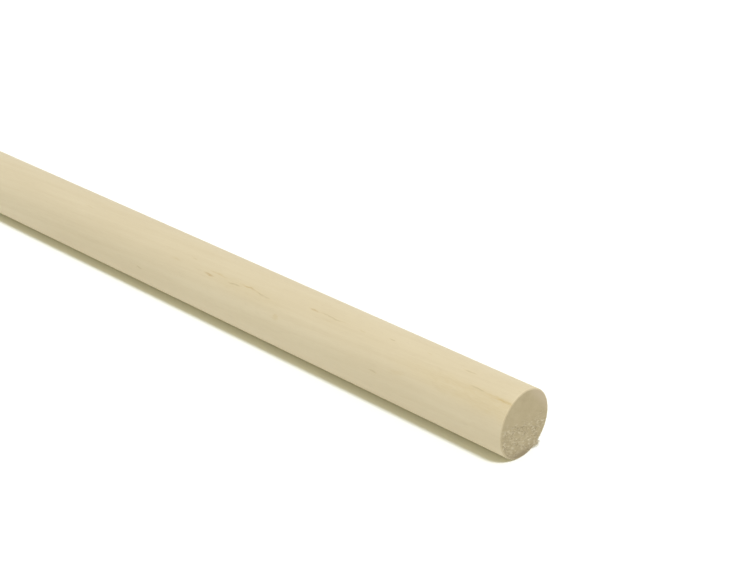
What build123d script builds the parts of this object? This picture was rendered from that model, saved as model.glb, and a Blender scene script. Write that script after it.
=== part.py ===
from build123d import *

import os

# Wooden dowel rod: one straight, round length of pale hardwood, machined to its
# diameter along the whole length and sawn square at both ends.
#
# Frame: millimetres, +Z up. The rod lies along X. The origin is on the rod's axis,
# halfway between its two sawn ends, so its underside is one radius below it.

# Driving dimensions
rod_diameter = 19.05  # three quarters of an inch
rod_length = 304.8  # twelve inches, from one sawn face to the other
edge_break = 0.3  # radius that light sanding left round each sawn face

# The round section is drawn at the far sawn face and runs to the near one.
far_face = Plane.YZ.offset(-rod_length / 2)

with BuildPart() as dowel_rod:
    with BuildSketch(far_face):
        Circle(rod_diameter / 2)
    extrude(amount=rod_length)

    # The rims of both sawn faces are the rod's only full circles.
    sawn_rims = dowel_rod.edges().filter_by(GeomType.CIRCLE)
    fillet(sawn_rims, radius=edge_break)

dowel_rod.part.label = "dowel_rod"

os.makedirs("parts", exist_ok=True)
export_step(dowel_rod.part, "parts/dowel_rod.step")
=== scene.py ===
import math
import random

import bmesh
import bpy
from mathutils import Matrix, Quaternion, Vector, noise


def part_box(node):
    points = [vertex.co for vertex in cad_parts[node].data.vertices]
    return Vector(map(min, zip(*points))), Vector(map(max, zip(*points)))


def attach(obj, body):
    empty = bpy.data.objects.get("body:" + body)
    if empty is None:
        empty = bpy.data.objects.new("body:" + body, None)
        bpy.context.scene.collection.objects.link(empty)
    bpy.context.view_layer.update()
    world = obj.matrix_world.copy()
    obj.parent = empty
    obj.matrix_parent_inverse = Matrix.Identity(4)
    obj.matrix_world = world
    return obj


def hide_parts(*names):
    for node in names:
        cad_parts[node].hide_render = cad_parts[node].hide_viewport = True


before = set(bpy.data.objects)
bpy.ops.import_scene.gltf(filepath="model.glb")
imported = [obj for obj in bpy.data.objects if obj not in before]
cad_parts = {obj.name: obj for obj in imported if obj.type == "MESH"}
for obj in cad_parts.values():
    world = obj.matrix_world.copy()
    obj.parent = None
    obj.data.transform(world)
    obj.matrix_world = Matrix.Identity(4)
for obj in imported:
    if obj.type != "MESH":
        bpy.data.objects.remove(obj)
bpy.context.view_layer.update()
print("the packed rod is loaded")

# The rod lies along X with its axis on the X line, so every size comes from its box
mm = 0.001
rodLow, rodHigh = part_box("dowel_rod")
rodRadius = (rodHigh.y - rodLow.y) / 2
rodEnd = (rodHigh.x - rodLow.x) / 2
rodWidth = 2 * rodRadius


def easeIn(value, start, stop):
    t = min(1.0, max(0.0, (value - start) / (stop - start)))
    return t * t * (3 - 2 * t)


def finishPiece(name, mesh, material):
    bmesh.ops.recalc_face_normals(mesh, faces=mesh.faces)
    for face in mesh.faces:
        face.smooth = True
    data = bpy.data.meshes.new(name)
    mesh.to_mesh(data)
    mesh.free()
    data.materials.append(material)
    piece = bpy.data.objects.new(name, data)
    bpy.context.collection.objects.link(piece)
    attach(piece, "root")
    return piece


# short ways to add the nodes that the finish is mixed from
def feed(tree, socket, value):
    if isinstance(value, bpy.types.NodeSocket):
        tree.links.new(value, socket)
    else:
        socket.default_value = value


def calc(tree, operation, first, second=0.0):
    node = tree.nodes.new("ShaderNodeMath")
    node.operation = operation
    feed(tree, node.inputs[0], first)
    feed(tree, node.inputs[1], second)
    return node.outputs[0]


def calcVector(tree, operation, first, second=(0, 0, 0)):
    node = tree.nodes.new("ShaderNodeVectorMath")
    node.operation = operation
    feed(tree, node.inputs[0], first)
    feed(tree, node.inputs[1], second)
    return node.outputs["Value" if operation == "LENGTH" else "Vector"]


def weigh(tree, parts, weights):
    # adds up values, each times its weight
    total = None
    for value, weight in zip(parts, weights):
        part = calc(tree, "MULTIPLY", value, weight)
        total = part if total is None else calc(tree, "ADD", total, part)
    return total


def place(tree, vector, scale=(1, 1, 1), location=(0, 0, 0), rotation=(0, 0, 0), kind="POINT"):
    node = tree.nodes.new("ShaderNodeMapping")
    node.vector_type = kind
    feed(tree, node.inputs["Vector"], vector)
    node.inputs["Scale"].default_value = scale
    node.inputs["Location"].default_value = location
    node.inputs["Rotation"].default_value = rotation
    return node.outputs["Vector"]


def grainNoise(tree, vector, scale, detail=2.0, roughness=0.5, output="Fac"):
    # a pair of scales gives streaks: the first goes along the rod, the second across it
    if isinstance(scale, tuple):
        along, across = scale
        vector = place(tree, vector, (along, across, across))
        scale = 1.0
    node = tree.nodes.new("ShaderNodeTexNoise")
    feed(tree, node.inputs["Vector"], vector)
    node.inputs["Scale"].default_value = scale
    node.inputs["Detail"].default_value = detail
    node.inputs["Roughness"].default_value = roughness
    return node.outputs[output]


def remap(tree, value, span, target=(0.0, 1.0), smooth=False):
    node = tree.nodes.new("ShaderNodeMapRange")
    node.interpolation_type = "SMOOTHSTEP" if smooth else "LINEAR"
    feed(tree, node.inputs["Value"], value)
    node.inputs["From Min"].default_value = span[0]
    node.inputs["From Max"].default_value = span[1]
    node.inputs["To Min"].default_value = target[0]
    node.inputs["To Max"].default_value = target[1]
    return node.outputs["Result"]


def blendColour(tree, amount, first, second):
    node = tree.nodes.new("ShaderNodeMix")
    node.data_type = "RGBA"
    feed(tree, node.inputs[0], amount)
    feed(tree, node.inputs[6], first)
    feed(tree, node.inputs[7], second)
    return node.outputs[2]


def blendValue(tree, amount, first, second):
    node = tree.nodes.new("ShaderNodeMix")
    node.data_type = "FLOAT"
    feed(tree, node.inputs[0], amount)
    feed(tree, node.inputs[2], first)
    feed(tree, node.inputs[3], second)
    return node.outputs[0]


def ownAttribute(tree, name):
    node = tree.nodes.new("ShaderNodeAttribute")
    node.attribute_name = name
    return node.outputs["Fac"]


def seenRay(tree):
    # 1 for what is looked at, also in metal or through glass, and 0 for light on its way round
    path = tree.nodes.new("ShaderNodeLightPath")
    seen = calc(tree, "MAXIMUM", path.outputs["Is Camera Ray"], path.outputs["Is Glossy Ray"])
    return calc(tree, "MAXIMUM", seen, path.outputs["Is Transmission Ray"])


def chooseShader(tree, amount, first, second, output):
    choose = tree.nodes.new("ShaderNodeMixShader")
    tree.links.new(amount, choose.inputs[0])
    tree.links.new(first.outputs[0], choose.inputs[1])
    tree.links.new(second.outputs[0], choose.inputs[2])
    tree.links.new(choose.outputs[0], tree.nodes[output].inputs["Surface"])


# Each mesh carries a rim tone value, from darker at 0 to paler at 1, and tornFibre, from the bottom
# of a hollow at 0 to a loose tip at 1. At this level both leave the wood as it is.
plain = 0.5

# Bare wood: one solid grain runs through the round and both sawn ends. Colours are linear. A
# pattern is how often it changes in 1 mm, along the rod and across it, then how many finer layers
# it has and how strong they are.
woodGrain = {
    "pale": (0.772, 0.670, 0.452, 1),
    "deep": (0.712, 0.605, 0.392, 1),
    "lateLine": (0.650, 0.525, 0.310, 1),
    "lateTint": 0.10,  # how much of that colour shows
    "pore": (0.580, 0.460, 0.275, 1),
    "poreTint": 0.16,
    "heart": (0, 26, 58),  # where the tree's centre was, mm from the rod's axis
    "runOut": (0, math.radians(1.3), math.radians(-2.2)),  # how far the grain runs off the axis
    "ringGap": 2.3,  # mm from one year to the next
    "ringSway": 2.6,  # mm that a ring wanders
    "ringSwayPattern": ((0.010, 0.07), 2.0, 0.5),
    "yearTone": (0.9, 3.0),  # how often the tone changes in a year, and its finer layers
    "yearEdge": 0.25,  # how late the wood is where one year meets the next
    "yearCourse": ((0.22, 0.0), (0.62, 0.08), (0.88, 0.7), (0.95, 1.0)),  # and through the year
    "broadPattern": ((0.020, 0.75), 3.0, 0.55),
    "finePattern": ((0.07, 5.5), 2.0, 0.6),
    "porePattern": ((0.38, 8.5), 1.0, 0.4),
    "cloudScale": (0.018, 0.06),
    "cloudStart": (7, 3, 1),  # which part of the clouds the rod is cut from
    "toneShares": (0.40, 0.33, 0.28, 0.78),  # of broad streaks, years, fine lines and clouds
    "toneSpan": (0.67, 1.17),  # the sums that are all pale and all deep
    "poreSpan": (0.62, 0.74),
    "gloss": 0.3,
    "roughness": (0.52, 0.66),
    "roughSpan": (0.3, 0.7),  # the fine lines that have the first and the last of these
    "poreDepth": 0.8,  # as a share of the fine lines' height
    "relief": 0.04 * mm,
    "reliefStrength": 0.5,
}

endGrain = {
    # pale and deep are darker than the round's partly because end grain is darker, and partly as
    # painted shade, so the sawn faces look more shaded than their lamps make them
    "pale": (0.490, 0.413, 0.255, 1),
    "deep": (0.415, 0.342, 0.203, 1),
    "pore": (0.300, 0.240, 0.140, 1),
    "pit": (0.290, 0.240, 0.142, 1),  # shaded hollows between torn fibres
    "pitTint": 0.16,
    "tuft": (0.665, 0.595, 0.427, 1),  # loose fibre tips
    "tuftTint": 0.85,
    "tuftFrom": 0.52,  # a torn height that starts to look pale
    "darkRim": (0.315, 0.255, 0.155, 1),  # the colour the rim darkens to towards its exit side
    "paleRim": (0.515, 0.430, 0.290, 1),  # the colour the rim pales to towards another side
    "speckPattern": (2.6, 3.0, 0.6),
    "blotchPattern": (0.35, 2.0, 0.5),
    "toneShares": (0.45, 0.55, 0.10),  # of specks, blotches and late wood
    "toneSpan": (0.3, 0.8),
    "poreScale": 4.5,
    "poreSpan": (0.12, 0.26),  # from a pore's dark middle to its edge, in pore gaps
    "poreTint": 0.30,
    "roughness": 0.9,
    "speckHeight": 2.0,  # times the height of the fine lines
}

# Small pith flecks and mineral streaks in the round, and two wide rows that only make broad
# stretches of the top darker
fleckShape = {
    "straw": (0.640, 0.490, 0.215, 1),
    "grey": (0.450, 0.370, 0.190, 1),
    "amber": (0.490, 0.315, 0.100, 1),
    "colours": ("straw", "grey", "amber"),  # the order in which they are laid
    "leastDepth": 1.2,  # mm
    "fullness": 1.8,  # above 1 the middle of a fleck is flat and its edge is firm
    "edge": (0.15, 0.55),  # each has a pale straw edge round its own colour
    "waver": 1.3,  # mm that a fleck follows the fibres' waver
    "waverPattern": ((0.22, 0.16), 2.0, 0.6),
    "raggedPattern": ((0.5, 5), 3.0, 0.5),
    "raggedSpan": (0.3, 0.65),
    "raggedRange": (0.25, 1),
}

# each row: colour, where it starts, where it stops, width in mm, strength. A spot is its mm from
# the near end and its degrees round the rod from the -Y side up over the top.
flecks = [
    ("straw", (121.5, 47.5), (128, 46), 0.9, 0.12),
    ("grey", (122.5, 47), (126, 46), 0.7, 0.20),
    ("grey", (116.5, 60.5), (119.5, 60), 0.6, 0.36),
    ("amber", (107, 44.5), (112.5, 46), 0.8, 0.70),
    ("straw", (101.5, 54), (111, 51.5), 0.8, 0.54),
    ("grey", (96, 49), (102.5, 47), 0.65, 0.48),
    ("straw", (92, 53), (99.5, 52), 1.1, 0.34),
    ("amber", (89, 52), (97, 52.5), 0.7, 0.48),
    ("grey", (84, 50.5), (91.5, 52), 0.7, 0.52),
    ("amber", (66.5, 66.5), (72, 64.5), 0.8, 0.48),
    ("grey", (56.5, 67.5), (69, 66.5), 0.6, 0.48),
    ("grey", (61, 59), (66, 58), 0.6, 0.16),
    ("grey", (50, 67), (53, 67), 0.6, 0.26),
    ("grey", (40.5, 74.5), (43.5, 74), 0.6, 0.50),
    ("grey", (28.5, 80), (31, 79.5), 0.6, 0.26),
    ("grey", (13.5, 80.5), (18.5, 79), 0.65, 0.46),
    ("grey", (41, 12.5), (45, 13.5), 0.65, 0.42),
    ("grey", (137, 0.5), (141, 2.5), 0.7, 0.45),
    ("straw", (79, 26.5), (82, 26), 2.2, 0.40),
    ("straw", (31.5, 33), (38.5, 26), 1.7, 0.18),
    ("amber", (-1.5, 55.5), (6, 56.5), 1.2, 0.34),
    ("straw", (-3, 56), (10.5, 58.5), 1.4, 0.56),
    ("grey", (-1, 55.5), (4.5, 56.5), 0.6, 0.34),
    ("grey", (7.5, 57.5), (14.5, 59), 0.7, 0.50),
    # two wide, faint rows that only make broad stretches over the top darker and more yellow
    ("straw", (-30, 45), (42, 45), 7.5, 0.32),
    ("straw", (74, 47), (118, 47), 6, 0.16),
    ("grey", (167, 68), (172.5, 69), 0.6, 0.20),
    ("straw", (200, 39), (211, 36), 0.7, 0.12),
    ("amber", (222, 84), (225, 84.5), 0.8, 0.50),
    ("grey", (258, 20), (263, 21), 0.6, 0.36),
    ("straw", (281, 62), (293, 60), 0.7, 0.40),
    ("straw", (30, 131), (43, 134), 0.8, 0.50),
    ("amber", (76, 158), (79.5, 157), 1.0, 0.70),
    ("straw", (118, 146), (133, 149), 0.75, 0.45),
    ("grey", (154, 172), (159, 171), 0.7, 0.45),
    ("amber", (190, 128), (198, 126), 0.75, 0.50),
    ("grey", (240, 150), (244.5, 151), 0.65, 0.40),
    ("straw", (268, 137), (279, 135), 0.75, 0.42),
    ("straw", (60, -58), (74, -61), 0.75, 0.42),
    ("amber", (148, -84), (151.5, -85), 0.9, 0.65),
    ("grey", (212, -66), (217, -67), 0.65, 0.40),
]


def mixYearRings(tree, alongGrain):
    # rings round the tree's centre: a tone for each year, and how late in its year the wood is
    fromHeart = place(tree, alongGrain, location=[-c for c in woodGrain["heart"]])
    reach = calcVector(tree, "LENGTH", calcVector(tree, "MULTIPLY", fromHeart, (0, 1, 1)))
    swayNoise = grainNoise(tree, alongGrain, *woodGrain["ringSwayPattern"])
    sway = remap(tree, swayNoise, (0, 1), (-woodGrain["ringSway"], woodGrain["ringSway"]))
    year = calc(tree, "DIVIDE", calc(tree, "ADD", reach, sway), woodGrain["ringGap"])
    yearTone = tree.nodes.new("ShaderNodeTexNoise")
    yearTone.noise_dimensions = "1D"
    tree.links.new(year, yearTone.inputs["W"])
    scale, detail = woodGrain["yearTone"]
    yearTone.inputs["Scale"].default_value = scale
    yearTone.inputs["Detail"].default_value = detail
    lateWood = tree.nodes.new("ShaderNodeValToRGB")
    for stop in lateWood.color_ramp.elements:
        stop.color = [woodGrain["yearEdge"]] * 3 + [1]
    for at, level in woodGrain["yearCourse"]:
        stop = lateWood.color_ramp.elements.new(at)
        stop.color = (level, level, level, 1)
    tree.links.new(calc(tree, "FRACT", year), lateWood.inputs["Fac"])
    return yearTone.outputs["Fac"], lateWood.outputs["Color"]


def mixRound(tree, inMm, alongGrain, yearTone, late):
    # fibres: long soft streaks, fine lines and short open pores
    broad = grainNoise(tree, alongGrain, *woodGrain["broadPattern"])
    fine = grainNoise(tree, alongGrain, *woodGrain["finePattern"])
    poreNoise = grainNoise(tree, alongGrain, *woodGrain["porePattern"])
    pores = remap(tree, poreNoise, woodGrain["poreSpan"], smooth=True)
    along, across = woodGrain["cloudScale"]
    clouds = place(tree, inMm, (along, across, across), woodGrain["cloudStart"])
    cloud = grainNoise(tree, clouds, 1.0)

    tone = weigh(tree, (broad, yearTone, fine, cloud), woodGrain["toneShares"])
    toneAmount = remap(tree, tone, woodGrain["toneSpan"])
    colour = blendColour(tree, toneAmount, woodGrain["pale"], woodGrain["deep"])
    lateAmount = calc(tree, "MULTIPLY", late, woodGrain["lateTint"])
    colour = blendColour(tree, lateAmount, colour, woodGrain["lateLine"])
    poreAmount = calc(tree, "MULTIPLY", pores, woodGrain["poreTint"])
    return blendColour(tree, poreAmount, colour, woodGrain["pore"]), fine, pores


def spotOnRound(spot):
    along, degrees = spot
    turn = math.radians(degrees)
    radius = rodRadius / mm
    return Vector((rodEnd / mm - along, -radius * math.cos(turn), radius * math.sin(turn)))


def fleckMask(tree, wavy, start, stop, width):
    # a thin lens from one spot to the other, set deep enough for the round to cut all of it
    first, last = spotOnRound(start), spotOnRound(stop)
    middle = (first + last) / 2
    out = Vector((0, middle.y, middle.z)).normalized()
    length = (last - first).length
    lengthwise = (last - first).normalized()
    across = out.cross(lengthwise).normalized()
    out = lengthwise.cross(across)
    turned = Matrix((lengthwise, across, out)).transposed().to_euler("XYZ")
    size = (length / 2, width / 2, max(fleckShape["leastDepth"], length / 4))
    local = place(tree, wavy, size, middle, turned, "TEXTURE")
    lens = tree.nodes.new("ShaderNodeTexGradient")
    lens.gradient_type = "SPHERICAL"
    tree.links.new(local, lens.inputs["Vector"])
    return lens.outputs["Fac"]


def layFlecks(tree, inMm, roundColour):
    # the flecks follow the fibres as they waver, and the fibres fray their colour
    waver = grainNoise(tree, inMm, *fleckShape["waverPattern"], "Color")
    most = fleckShape["waver"]
    aside = place(tree, waver, (0, most, most), (0, -most / 2, -most / 2))
    wavy = calcVector(tree, "ADD", inMm, aside)
    raggedNoise = grainNoise(tree, inMm, *fleckShape["raggedPattern"])
    ragged = remap(tree, raggedNoise, fleckShape["raggedSpan"], fleckShape["raggedRange"])
    for shade in fleckShape["colours"]:
        total = None
        for kind, start, stop, width, strength in flecks:
            if kind != shade:
                continue
            mask = fleckMask(tree, wavy, start, stop, width)
            amount = calc(tree, "MULTIPLY", mask, fleckShape["fullness"] * strength)
            amount = calc(tree, "MINIMUM", amount, strength)
            total = amount if total is None else calc(tree, "MAXIMUM", total, amount)
        inner = remap(tree, total, fleckShape["edge"])
        edged = blendColour(tree, inner, fleckShape["straw"], fleckShape[shade])
        roundColour = blendColour(tree, calc(tree, "MULTIPLY", total, ragged), roundColour, edged)
    return roundColour


def mixSawnEnds(tree, inMm, late):
    # the same rings seen across, cut pores, torn fibre by its height, and a rim that is darker on
    # one side and paler on another
    torn = ownAttribute(tree, "tornFibre")
    rimLevel = ownAttribute(tree, "rimTone")
    speck = grainNoise(tree, inMm, *endGrain["speckPattern"])
    blotch = grainNoise(tree, inMm, *endGrain["blotchPattern"])
    tone = weigh(tree, (speck, blotch, late), endGrain["toneShares"])
    toneAmount = remap(tree, tone, endGrain["toneSpan"])
    colour = blendColour(tree, toneAmount, endGrain["pale"], endGrain["deep"])
    cutPores = tree.nodes.new("ShaderNodeTexVoronoi")
    tree.links.new(inMm, cutPores.inputs["Vector"])
    cutPores.inputs["Scale"].default_value = endGrain["poreScale"]
    fromPore = cutPores.outputs["Distance"]
    dots = remap(tree, fromPore, endGrain["poreSpan"], (endGrain["poreTint"], 0.0), True)
    colour = blendColour(tree, dots, colour, endGrain["pore"])
    # the rim is darker towards its exit side and paler towards another side
    colour = blendColour(tree, remap(tree, rimLevel, (plain, 0.0)), colour, endGrain["darkRim"])
    colour = blendColour(tree, remap(tree, rimLevel, (plain, 1.0)), colour, endGrain["paleRim"])
    pits = remap(tree, torn, (plain, 0.0), (0.0, endGrain["pitTint"]))
    colour = blendColour(tree, pits, colour, endGrain["pit"])
    tufts = remap(tree, torn, (endGrain["tuftFrom"], 1.0), (0.0, endGrain["tuftTint"]))
    return blendColour(tree, tufts, colour, endGrain["tuft"]), speck


def makeBareWood():
    material = bpy.data.materials.new("bareWood")
    material.use_nodes = True
    tree = material.node_tree
    shader = tree.nodes["Principled BSDF"]
    shader.inputs["Specular IOR Level"].default_value = woodGrain["gloss"]

    own = tree.nodes.new("ShaderNodeTexCoord").outputs["Object"]
    inMm = place(tree, own, [1 / mm] * 3)
    alongGrain = place(tree, inMm, rotation=woodGrain["runOut"])
    yearTone, late = mixYearRings(tree, alongGrain)
    roundColour, fine, pores = mixRound(tree, inMm, alongGrain, yearTone, late)
    roundColour = layFlecks(tree, inMm, roundColour)
    endColour, speck = mixSawnEnds(tree, inMm, late)

    sawn = ownAttribute(tree, "sawnFace")
    tree.links.new(blendColour(tree, sawn, roundColour, endColour), shader.inputs["Base Color"])
    roundRough = remap(tree, fine, woodGrain["roughSpan"], woodGrain["roughness"])
    rough = blendValue(tree, sawn, roundRough, endGrain["roughness"])
    tree.links.new(rough, shader.inputs["Roughness"])

    poreDrop = calc(tree, "MULTIPLY", pores, woodGrain["poreDepth"])
    roundHeight = calc(tree, "SUBTRACT", fine, poreDrop)
    endHeight = calc(tree, "MULTIPLY", speck, endGrain["speckHeight"])
    bump = tree.nodes.new("ShaderNodeBump")
    bump.inputs["Strength"].default_value = woodGrain["reliefStrength"]
    bump.inputs["Distance"].default_value = woodGrain["relief"]
    tree.links.new(blendValue(tree, sawn, roundHeight, endHeight), bump.inputs["Height"])
    tree.links.new(bump.outputs["Normal"], shader.inputs["Normal"])
    return material


bareWood = makeBareWood()
print("bare wood is mixed")


# The rod is a sanded round with a sawn face and a broken edge at each end
rodShape = {
    "roundSteps": 512,  # straight edges round the rod, a multiple of 8
    "shankSteps": 90,  # steps along the shank
    "rimSteps": 4,  # steps over each sanded rim
    "edgeBreak": 0.3 * mm,  # radius that light sanding left at each sawn face
    "uneven": 0.025 * mm,  # how far the shank wanders inside its diameter
    "unevenLength": 38 * mm,  # over this length
    "unevenWidth": 11 * mm,  # and this far round
    "rimSawn": 0.6,  # how much each rim looks like the sawn face
    "rimPart": 0.2,  # of the edge break, how much of it still counts as sanded round
    "fadeWidth": 0.3 * mm,  # the sawn face grows shallow this close to its rim
    "fade": 0.8,  # by this share
    "joinWidth": 0.01 * mm,  # the outermost row of a sawn face, which joins the rim
    "weld": 0.004 * mm,  # the gap that is closed there
}

# What both saw cuts share. Where nothing else is said, a pair is where a thing starts and where
# it is full, on a line from -1 at one side of the end to +1 at the other.
sawCut = {
    "bladeRadius": 70 * mm,
    "markDepth": 0.007 * mm,
    "markShade": 0.03,
    "wobble": 0.35,  # how far a mark strays, as a share of the way to the next
    "wobbleSize": (4 * mm, 2 * mm),  # over this length along a mark and across the marks
    "torn": (-0.30, 0.22),  # towards the torn side
    "pressed": (0.66, 0.90),  # towards the exit the blade pressed the torn fibres flat again
    "pressedShare": 0.8,
    "patch": 3.1 * mm,  # both of these follow soft patches of this size
    "patchReach": 0.20,
    "darkRim": (0.50, 0.95),  # the exit side is darker, softly at first
    "darkRimShare": 0.55,
    "darkBand": (0.80, 0.86),  # and then from a firm, ragged edge
    "darkBandShare": 0.45,
    "ragged": 1.8 * mm,
    "raggedReach": 0.03,
    "paleRim": (0.60, 0.95),  # towards the paler side
    "strandLength": 1.30 * mm,
    "strandWidth": 0.50 * mm,
    "strandRise": 0.75,
    "strandLayers": (0.9, 2.1, 3),  # how fast finer layers fade, how much finer, how many
    "bunch": 1.5 * mm,  # from one bunch of strands to the next
    "bunchRise": (0.6, 1.2),  # how high strands stand between bunches and inside one
}

# The blade leaves each end at its exit side, where it tears the fibres. Directions on an end are
# degrees from +Y up over +Z.
sawnEnds = {
    "near": {
        "side": 1,
        "exit": 265,
        "paleRim": 40,  # where the rim is paler
        "frayed": 303,  # where the longest torn fibres hang off the rim
        "torn": 256,  # the side where the fibres are torn
        "strands": 336,  # the way the torn fibres lie
        "seed": 4.0,
        "kerf": 0.95 * mm,  # from one saw mark to the next
        "depth": 0.06 * mm,  # of the deepest torn hollows
    },
    "far": {
        "side": -1,
        "exit": 205,
        "paleRim": 75,
        "frayed": 236,
        "torn": 214,
        "strands": 196,
        "seed": 31.0,
        "kerf": 0.80 * mm,
        "depth": 0.06 * mm,
    },
}


def turnedAxes(y, z, degrees):
    # how far a spot on an end lies along a direction, and across it
    turn = math.radians(degrees)
    return y * math.cos(turn) + z * math.sin(turn), z * math.cos(turn) - y * math.sin(turn)


def alongCut(y, z, degrees):
    # from -1 to +1
    return turnedAxes(y, z, degrees)[0] / rodRadius


def wander(y, z, size, seed):
    # a soft random value from -1 to 1 that changes over about this size. Each use adds a number
    # of its own to the end's seed, so no two patterns are the same.
    return noise.noise(Vector((y / size, z / size, seed)))


def bunching(y, z, cut):
    # from 0 between two bunches of strands to 1 in the middle of one
    return 0.5 + 0.5 * wander(y, z, sawCut["bunch"], cut["seed"] + 17)


def tornAmount(y, z, cut):
    # from 0 where the face is smooth to 1 where it is fully torn
    patch = sawCut["patchReach"] * wander(y, z, sawCut["patch"], cut["seed"])
    torn = easeIn(alongCut(y, z, cut["torn"]) + patch, *sawCut["torn"])
    pressed = easeIn(alongCut(y, z, cut["exit"]) + patch, *sawCut["pressed"])
    return torn * (1 - sawCut["pressedShare"] * pressed)


def rimToneAmount(y, z, cut):
    # plain, or less where the face is darker towards its exit side and more where it is paler
    along = alongCut(y, z, cut["exit"])
    ragged = along + sawCut["raggedReach"] * wander(y, z, sawCut["ragged"], cut["seed"] + 5)
    darkRim = sawCut["darkRimShare"] * easeIn(along, *sawCut["darkRim"])
    darkRim += sawCut["darkBandShare"] * easeIn(ragged, *sawCut["darkBand"])
    paleRim = easeIn(alongCut(y, z, cut["paleRim"]), *sawCut["paleRim"])
    return plain * (1 - darkRim + paleRim)


def cutSurface(y, z, cut):
    # returns how deep the face lies here, and its tornFibre value
    onward, across = turnedAxes(y, z, cut["exit"])
    onward -= across * across / (2 * sawCut["bladeRadius"])  # the marks curve as the blade does
    long, wide = sawCut["wobbleSize"]
    wobble = sawCut["wobble"] * noise.noise(Vector((across / long, onward / wide, cut["seed"] + 9)))
    ridge = 0.5 + 0.5 * math.sin(math.tau * (onward / cut["kerf"] + wobble))

    lengthwise, sideways = turnedAxes(y, z, cut["strands"])
    long, wide = sawCut["strandLength"], sawCut["strandWidth"]
    spot = Vector((lengthwise / long, sideways / wide, cut["seed"]))
    strand = plain + sawCut["strandRise"] * noise.fractal(spot, *sawCut["strandLayers"])
    low, high = sawCut["bunchRise"]
    strand = min(1.0, max(0.0, strand)) * (low + (high - low) * bunching(y, z, cut))

    rough = tornAmount(y, z, cut)
    depth = sawCut["markDepth"] * ridge + rough * cut["depth"] * (1 - strand)
    shade = (1 - rough) * sawCut["markShade"] * (ridge - 0.5)
    return depth, plain + rough * (strand - plain) + shade


def squareToRound(a, b):
    # spreads a square evenly over a disc, edge on edge
    if abs(a) < 1e-9 and abs(b) < 1e-9:
        return 0.0, 0.0
    if abs(a) > abs(b):
        reach, turn = a, math.pi / 4 * b / a
    else:
        reach, turn = b, math.pi / 2 - math.pi / 4 * a / b
    return reach * math.cos(turn), reach * math.sin(turn)


def spinShank(rod):
    # half outline over one rim, along the shank and over the other rim, spun round the axis
    edge = rodShape["edgeBreak"]
    flatRadius = rodRadius - edge
    rim = [math.pi / 2 * i / rodShape["rimSteps"] for i in range(rodShape["rimSteps"] + 1)]
    outline = [(rodEnd - edge + edge * math.cos(t), flatRadius + edge * math.sin(t)) for t in rim]
    outline += [(-x, r) for x, r in reversed(outline)]
    points = [rod.verts.new((x, r, 0)) for x, r in outline]
    lines = [rod.edges.new(pair) for pair in zip(points, points[1:])]
    longest = max(lines, key=lambda line: line.calc_length())
    bmesh.ops.subdivide_edges(rod, edges=[longest], cuts=rodShape["shankSteps"] - 1)
    bmesh.ops.spin(
        rod,
        geom=rod.verts[:] + rod.edges[:],
        cent=(0, 0, 0),
        axis=(1, 0, 0),
        angle=math.tau,
        steps=rodShape["roundSteps"],
        use_merge=True,
    )


def makeRod():
    rod = bmesh.new()
    sawn = rod.verts.layers.float.new("sawnFace")
    torn = rod.verts.layers.float.new("tornFibre")
    rimLevel = rod.verts.layers.float.new("rimTone")
    edge = rodShape["edgeBreak"]
    flatRadius = rodRadius - edge
    long, wide = rodShape["unevenLength"], rodShape["unevenWidth"]

    spinShank(rod)
    for point in rod.verts:
        x, y, z = point.co
        if math.hypot(y, z) > rodRadius - rodShape["rimPart"] * edge:
            spot = Vector((x / long, y / wide, z / wide))
            shrink = rodShape["uneven"] * (0.5 + 0.5 * noise.noise(spot))
            point.co.y -= y / rodRadius * shrink
            point.co.z -= z / rodRadius * shrink
        else:
            point[sawn] = rodShape["rimSawn"]
            point[torn] = plain
            point[rimLevel] = rimToneAmount(y, z, sawnEnds["near" if x > 0 else "far"])

    # each sawn face is a grid spread over a disc, with the saw's marks pressed into it
    steps = rodShape["roundSteps"] // 4
    for cut in sawnEnds.values():
        made = bmesh.ops.create_grid(rod, x_segments=steps, y_segments=steps, size=1)
        for point in made["verts"]:
            y, z = squareToRound(point.co.x, point.co.y)
            y, z = y * flatRadius, z * flatRadius
            reach = math.hypot(y, z)
            depth, height = cutSurface(y, z, cut)
            fading = easeIn(reach, flatRadius - rodShape["fadeWidth"], flatRadius)
            depth *= 1 - rodShape["fade"] * fading
            inRim = reach > flatRadius - rodShape["joinWidth"]
            point.co = (cut["side"] * (rodEnd - (0 if inRim else depth)), y, z)
            point[sawn] = rodShape["rimSawn"] if inRim else 1.0
            point[torn] = height
            point[rimLevel] = rimToneAmount(y, z, cut)
    bmesh.ops.remove_doubles(rod, verts=rod.verts, dist=rodShape["weld"])
    return finishPiece("rodWood", rod, bareWood)


rodWood = makeRod()
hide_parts("dowel_rod")
print("the rod is turned and sawn:", len(rodWood.data.polygons), "faces")


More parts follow.
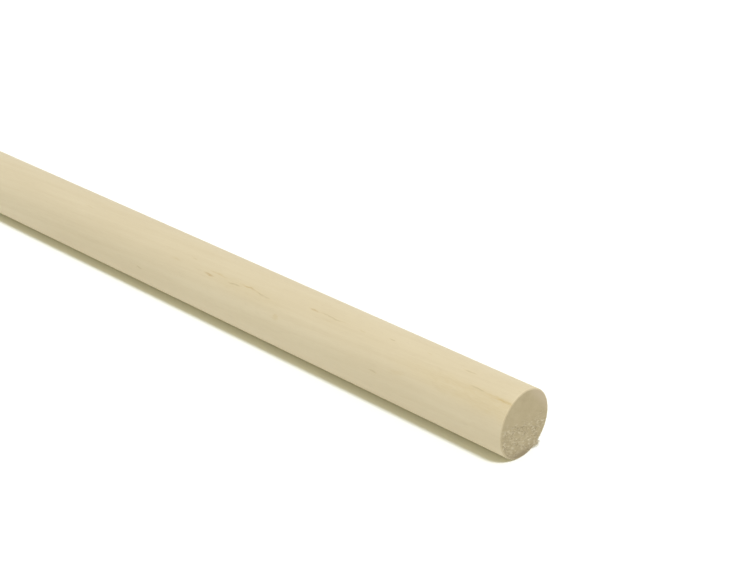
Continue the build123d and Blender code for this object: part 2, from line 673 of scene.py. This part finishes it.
# Torn fibre is the slivers that the blade lifted on its way out
tornShape = {
    "bends": (-0.9, -0.5, -0.2, 0.1, 0.4),  # how far each shape leans, in its own widths
    "flatness": 0.55,  # a strand's thickness over its width
    "taper": (0.9, 0.7, 0.3),  # each third narrows this much
    "tufts": 320,  # slivers lying on each torn face
    "tuftLength": (0.45 * mm, 1.30 * mm),
    "tuftWidth": (0.08 * mm, 0.20 * mm),
    "tuftTurn": 26,  # degrees that they stray from the way the fibres lie
    "tuftLift": (0.02, 0.20),  # how steeply they stand off the face
    "tuftPaleness": (0.60, 1.00),
    "tuftBunches": (0.25, 0.75),  # they keep to where strands are bunched
    "tuftInset": 0.25 * mm,  # from a root to the rim
    "tuftSunk": 0.02 * mm,  # how deep a root is set into the face
    "tipInset": 0.10 * mm,  # from a tip to the rod's side
    "whiskers": 14,  # slivers standing off each exit rim
    "whiskerLength": (0.25 * mm, 0.60 * mm),
    "whiskerWidth": (0.05 * mm, 0.11 * mm),
    "whiskerPast": 22,  # degrees from the exit to the middle of them
    "whiskerSpread": 26,
    "whiskerStray": 0.45,  # how far they lean to either side
    "frays": 56,  # longer slivers bunched at the frayed spot
    "frayLength": (0.60 * mm, 1.90 * mm),
    "frayWidth": (0.06 * mm, 0.16 * mm),
    "fraySpread": 3.6,
    "frayStray": 0.30,
    "frayFade": 12,  # degrees from the middle to where a fray would have no length
    "frayLoss": 0.6,  # but none loses more than this share
    "rimSunk": 0.14 * mm,  # how deep whiskers and frays are set into the rim
    "rimBack": (0.06, 0.22),  # mm from the sawn face back to them
    "rimLift": (0.1, 0.5),  # how steeply whiskers and frays stand off the face
    "rimPaleness": 0.90,
    "seed": 7,
}


def modelSliver(bend):
    # a flat five-sided strand, one long and one wide, that narrows and leans towards its tip
    sliver = bmesh.new()
    bmesh.ops.create_circle(sliver, cap_ends=True, segments=5, radius=0.5)
    bmesh.ops.scale(sliver, vec=(1, tornShape["flatness"], 1), verts=sliver.verts)
    face = sliver.faces[:][0]
    lean = 0.0
    for step, narrowing in enumerate(tornShape["taper"]):
        # only the first face stays, as the closed root of the strand
        grown = bmesh.ops.extrude_face_region(
            sliver, geom=[face, *face.edges], use_keep_orig=step == 0
        )
        ring = [part for part in grown["geom"] if isinstance(part, bmesh.types.BMVert)]
        face = next(part for part in grown["geom"] if isinstance(part, bmesh.types.BMFace))
        lean += bend / 3
        bmesh.ops.translate(sliver, verts=ring, vec=(0, lean, 1 / 3))
        middle = face.calc_center_median()
        bmesh.ops.scale(
            sliver, vec=[narrowing] * 3, space=Matrix.Translation(-middle), verts=ring
        )
    shape = bpy.data.meshes.new("sliver")
    sliver.to_mesh(shape)
    sliver.free()
    return shape


def layTufts(cut, dice, addSliver):
    # bunched slivers that lie back over the torn part of the face
    side = cut["side"]
    flatRadius = rodRadius - rodShape["edgeBreak"]
    placed = 0
    while placed < tornShape["tufts"]:
        y, z = dice.uniform(-1, 1) * flatRadius, dice.uniform(-1, 1) * flatRadius
        likely = tornAmount(y, z, cut) * easeIn(bunching(y, z, cut), *tornShape["tuftBunches"])
        inset = flatRadius - math.hypot(y, z)
        if inset < tornShape["tuftInset"] or likely < dice.random():
            continue
        depth, _ = cutSurface(y, z, cut)
        turn = math.radians(cut["strands"] + dice.gauss(0, tornShape["tuftTurn"]))
        lift = side * dice.uniform(*tornShape["tuftLift"])
        heading = Vector((lift, math.cos(turn), math.sin(turn)))
        root = Vector((side * (rodEnd - depth - tornShape["tuftSunk"]), y, z))
        length = dice.uniform(*tornShape["tuftLength"])
        width = dice.uniform(*tornShape["tuftWidth"])
        tip = root + heading.normalized() * length
        if math.hypot(tip.y, tip.z) < rodRadius - tornShape["tipInset"]:
            placed += 1
            addSliver(root, heading, length, width, dice.uniform(*tornShape["tuftPaleness"]))


def hangFibres(cut, dice, addSliver):
    # fine whiskers along the exit rim, and one frayed bunch
    side = cut["side"]
    middles = {"whisker": cut["exit"] + tornShape["whiskerPast"], "fray": cut["frayed"]}
    hung = [
        (kind, dice.gauss(middle, tornShape[kind + "Spread"]))
        for kind, middle in middles.items()
        for _ in range(tornShape[kind + "s"])
    ]
    for kind, degrees in hung:
        turn = math.radians(degrees)
        out = Vector((0, math.cos(turn), math.sin(turn)))
        root = out * (rodRadius - tornShape["rimSunk"])
        root.x = side * (rodEnd - dice.uniform(*tornShape["rimBack"]) * mm)
        aside = Vector((0, -out.z, out.y)) * dice.gauss(0, tornShape[kind + "Stray"])
        heading = out + aside + Vector((side * dice.uniform(*tornShape["rimLift"]), 0, 0))
        length = dice.uniform(*tornShape[kind + "Length"])
        width = dice.uniform(*tornShape[kind + "Width"])
        if kind == "fray":
            # the bunch is longest in its middle
            fromMiddle = abs(degrees - cut["frayed"])
            length *= 1 - min(tornShape["frayLoss"], fromMiddle / tornShape["frayFade"])
        tip = root + heading.normalized() * length
        if tip.z - width > -rodRadius:  # clear of the floor
            addSliver(root, heading, length, width, tornShape["rimPaleness"])


def makeTornFibre():
    mesh = bmesh.new()
    sawn = mesh.verts.layers.float.new("sawnFace")
    torn = mesh.verts.layers.float.new("tornFibre")
    rimLevel = mesh.verts.layers.float.new("rimTone")
    dice = random.Random(tornShape["seed"])
    shapes = [modelSliver(bend) for bend in tornShape["bends"]]

    def addSliver(root, heading, length, width, paleness):
        shape = dice.choice(shapes)
        mesh.from_mesh(shape, face_normals=False, vertex_normals=False)
        mesh.verts.ensure_lookup_table()
        turned = heading.to_track_quat("Z", "Y").to_matrix().to_4x4()
        spun = Matrix.Rotation(dice.uniform(0, math.tau), 4, "Z")
        seat = Matrix.Translation(root) @ turned @ spun @ Matrix.Diagonal((width, width, length, 1))
        for point in mesh.verts[-len(shape.vertices) :]:
            point.co = seat @ point.co
            point[sawn] = 1.0
            point[torn] = paleness
            point[rimLevel] = plain

    for cut in sawnEnds.values():
        layTufts(cut, dice, addSliver)
        hangFibres(cut, dice, addSliver)
    for shape in shapes:
        bpy.data.meshes.remove(shape)
    return finishPiece("tornFibre", mesh, bareWood)


tornFibre = makeTornFibre()
print("torn fibre is in place:", len(tornFibre.data.polygons), "faces")


# Floor and light
studio = {
    "floorReach": 4.0,
    "floorColour": (0.80, 0.79, 0.59, 1),  # what the camera sees
    "floorGlow": (0.55, 0.535, 0.415, 1),  # what the floor passes on to the rod
    "floorFill": 0.12,  # and passes on in its own shadow too
    "roomStrength": 0.58,
    "softBoxSize": 1.7,
    "softBoxPlace": (1.04, -0.08, 1.63),
    "softBoxPower": 22.2,
}

# these reach only the floor: one gives the rod its shadow, the other lights the floor all round
floorLamps = {
    "floorLamp": {
        "from": (0.79, -0.22, 1.0),
        "colour": (0.60, 0.65, 1.0),
        "strength": 4.5,
        "spread": 9.5,  # degrees
    },
    "floorSky": {"from": (0, 0, 1), "colour": (1, 1, 1), "strength": 0.82, "spread": 160},
}


def makeFloor():
    material = bpy.data.materials.new("paleFloor")
    material.use_nodes = True
    tree = material.node_tree
    tree.nodes.remove(tree.nodes["Principled BSDF"])
    bounce = tree.nodes.new("ShaderNodeBsdfDiffuse")
    bounce.inputs["Color"].default_value = studio["floorGlow"]
    fill = tree.nodes.new("ShaderNodeEmission")
    fill.inputs["Strength"].default_value = studio["floorFill"]
    passedOn = tree.nodes.new("ShaderNodeAddShader")
    tree.links.new(bounce.outputs[0], passedOn.inputs[0])
    tree.links.new(fill.outputs[0], passedOn.inputs[1])
    paper = tree.nodes.new("ShaderNodeBsdfDiffuse")
    paper.inputs["Color"].default_value = studio["floorColour"]
    chooseShader(tree, seenRay(tree), passedOn, paper, "Material Output")
    mesh = bmesh.new()
    bmesh.ops.create_circle(
        mesh,
        cap_ends=True,
        segments=64,
        radius=studio["floorReach"],
        matrix=Matrix.Translation((0, 0, -rodRadius)),
    )
    data = bpy.data.meshes.new("paleFloor")
    mesh.to_mesh(data)
    mesh.free()
    data.materials.append(material)
    floor = bpy.data.objects.new("paleFloor", data)
    bpy.context.collection.objects.link(floor)
    return floor


def makeRoom():
    # the rod is lit by a dim room, and the room is looked at as plain white
    world = bpy.data.worlds.new("paleRoom")
    bpy.context.scene.world = world
    world.use_nodes = True
    tree = world.node_tree
    room = tree.nodes["Background"]
    white = tree.nodes.new("ShaderNodeBackground")
    for shade, strength in ((room, studio["roomStrength"]), (white, 1.0)):
        shade.inputs["Color"].default_value = (1, 1, 1, 1)
        shade.inputs["Strength"].default_value = strength
    chooseShader(tree, seenRay(tree), room, white, "World Output")


def hangLamp(name, kind, lit):
    lamp = bpy.data.lights.new(name, kind)
    hung = bpy.data.objects.new(name, lamp)
    bpy.context.collection.objects.link(hung)
    reached = bpy.data.collections.new(name + "Reaches")
    for piece in lit:
        reached.objects.link(piece)
    hung.light_linking.receiver_collection = reached
    return hung, lamp


def makeLight(floor, pieces):
    softBox, lamp = hangLamp("softBox", "AREA", pieces)
    lamp.shape = "SQUARE"
    lamp.size = studio["softBoxSize"]
    lamp.energy = studio["softBoxPower"]
    softBox.location = studio["softBoxPlace"]
    softBox.rotation_euler = (-softBox.location).to_track_quat("-Z", "Y").to_euler()
    for name, values in floorLamps.items():
        sun, lamp = hangLamp(name, "SUN", [floor])
        lamp.energy = values["strength"]
        lamp.color = values["colour"]
        lamp.angle = math.radians(values["spread"])
        sun.rotation_euler = Vector(values["from"]).to_track_quat("Z", "Y").to_euler()


# Everything but the lens and the angles is in rod widths
cameraView = {
    "sensor": 36,  # mm wide
    "lens": 73.14,  # mm
    "across": 43.93,  # degrees round from the -Y side towards +X
    "above": 27.8,  # degrees above the floor
    "lean": -1.33,  # degrees that the picture leans
    "away": 23.4,
    "lookAt": (-4.19, 1.613, 0),  # from the middle of the near end
}


def makeCamera():
    across, above = math.radians(cameraView["across"]), math.radians(cameraView["above"])
    back = Vector(
        (
            math.sin(across) * math.cos(above),
            -math.cos(across) * math.cos(above),
            math.sin(above),
        )
    )
    target = Vector((rodEnd, 0, 0)) + rodWidth * Vector(cameraView["lookAt"])
    data = bpy.data.cameras.new("benchCamera")
    data.sensor_width = cameraView["sensor"]
    data.lens = cameraView["lens"]
    camera = bpy.data.objects.new("benchCamera", data)
    camera.location = target + back * rodWidth * cameraView["away"]
    camera.rotation_mode = "QUATERNION"
    lean = Quaternion((0, 0, 1), math.radians(cameraView["lean"]))
    camera.rotation_quaternion = (-back).to_track_quat("-Z", "Y") @ lean
    bpy.context.collection.objects.link(camera)
    bpy.context.scene.camera = camera


makeRoom()
makeLight(makeFloor(), [rodWood, tornFibre])
makeCamera()
bpy.context.scene.view_settings.view_transform = "Standard"
print("floor, light and camera are set")
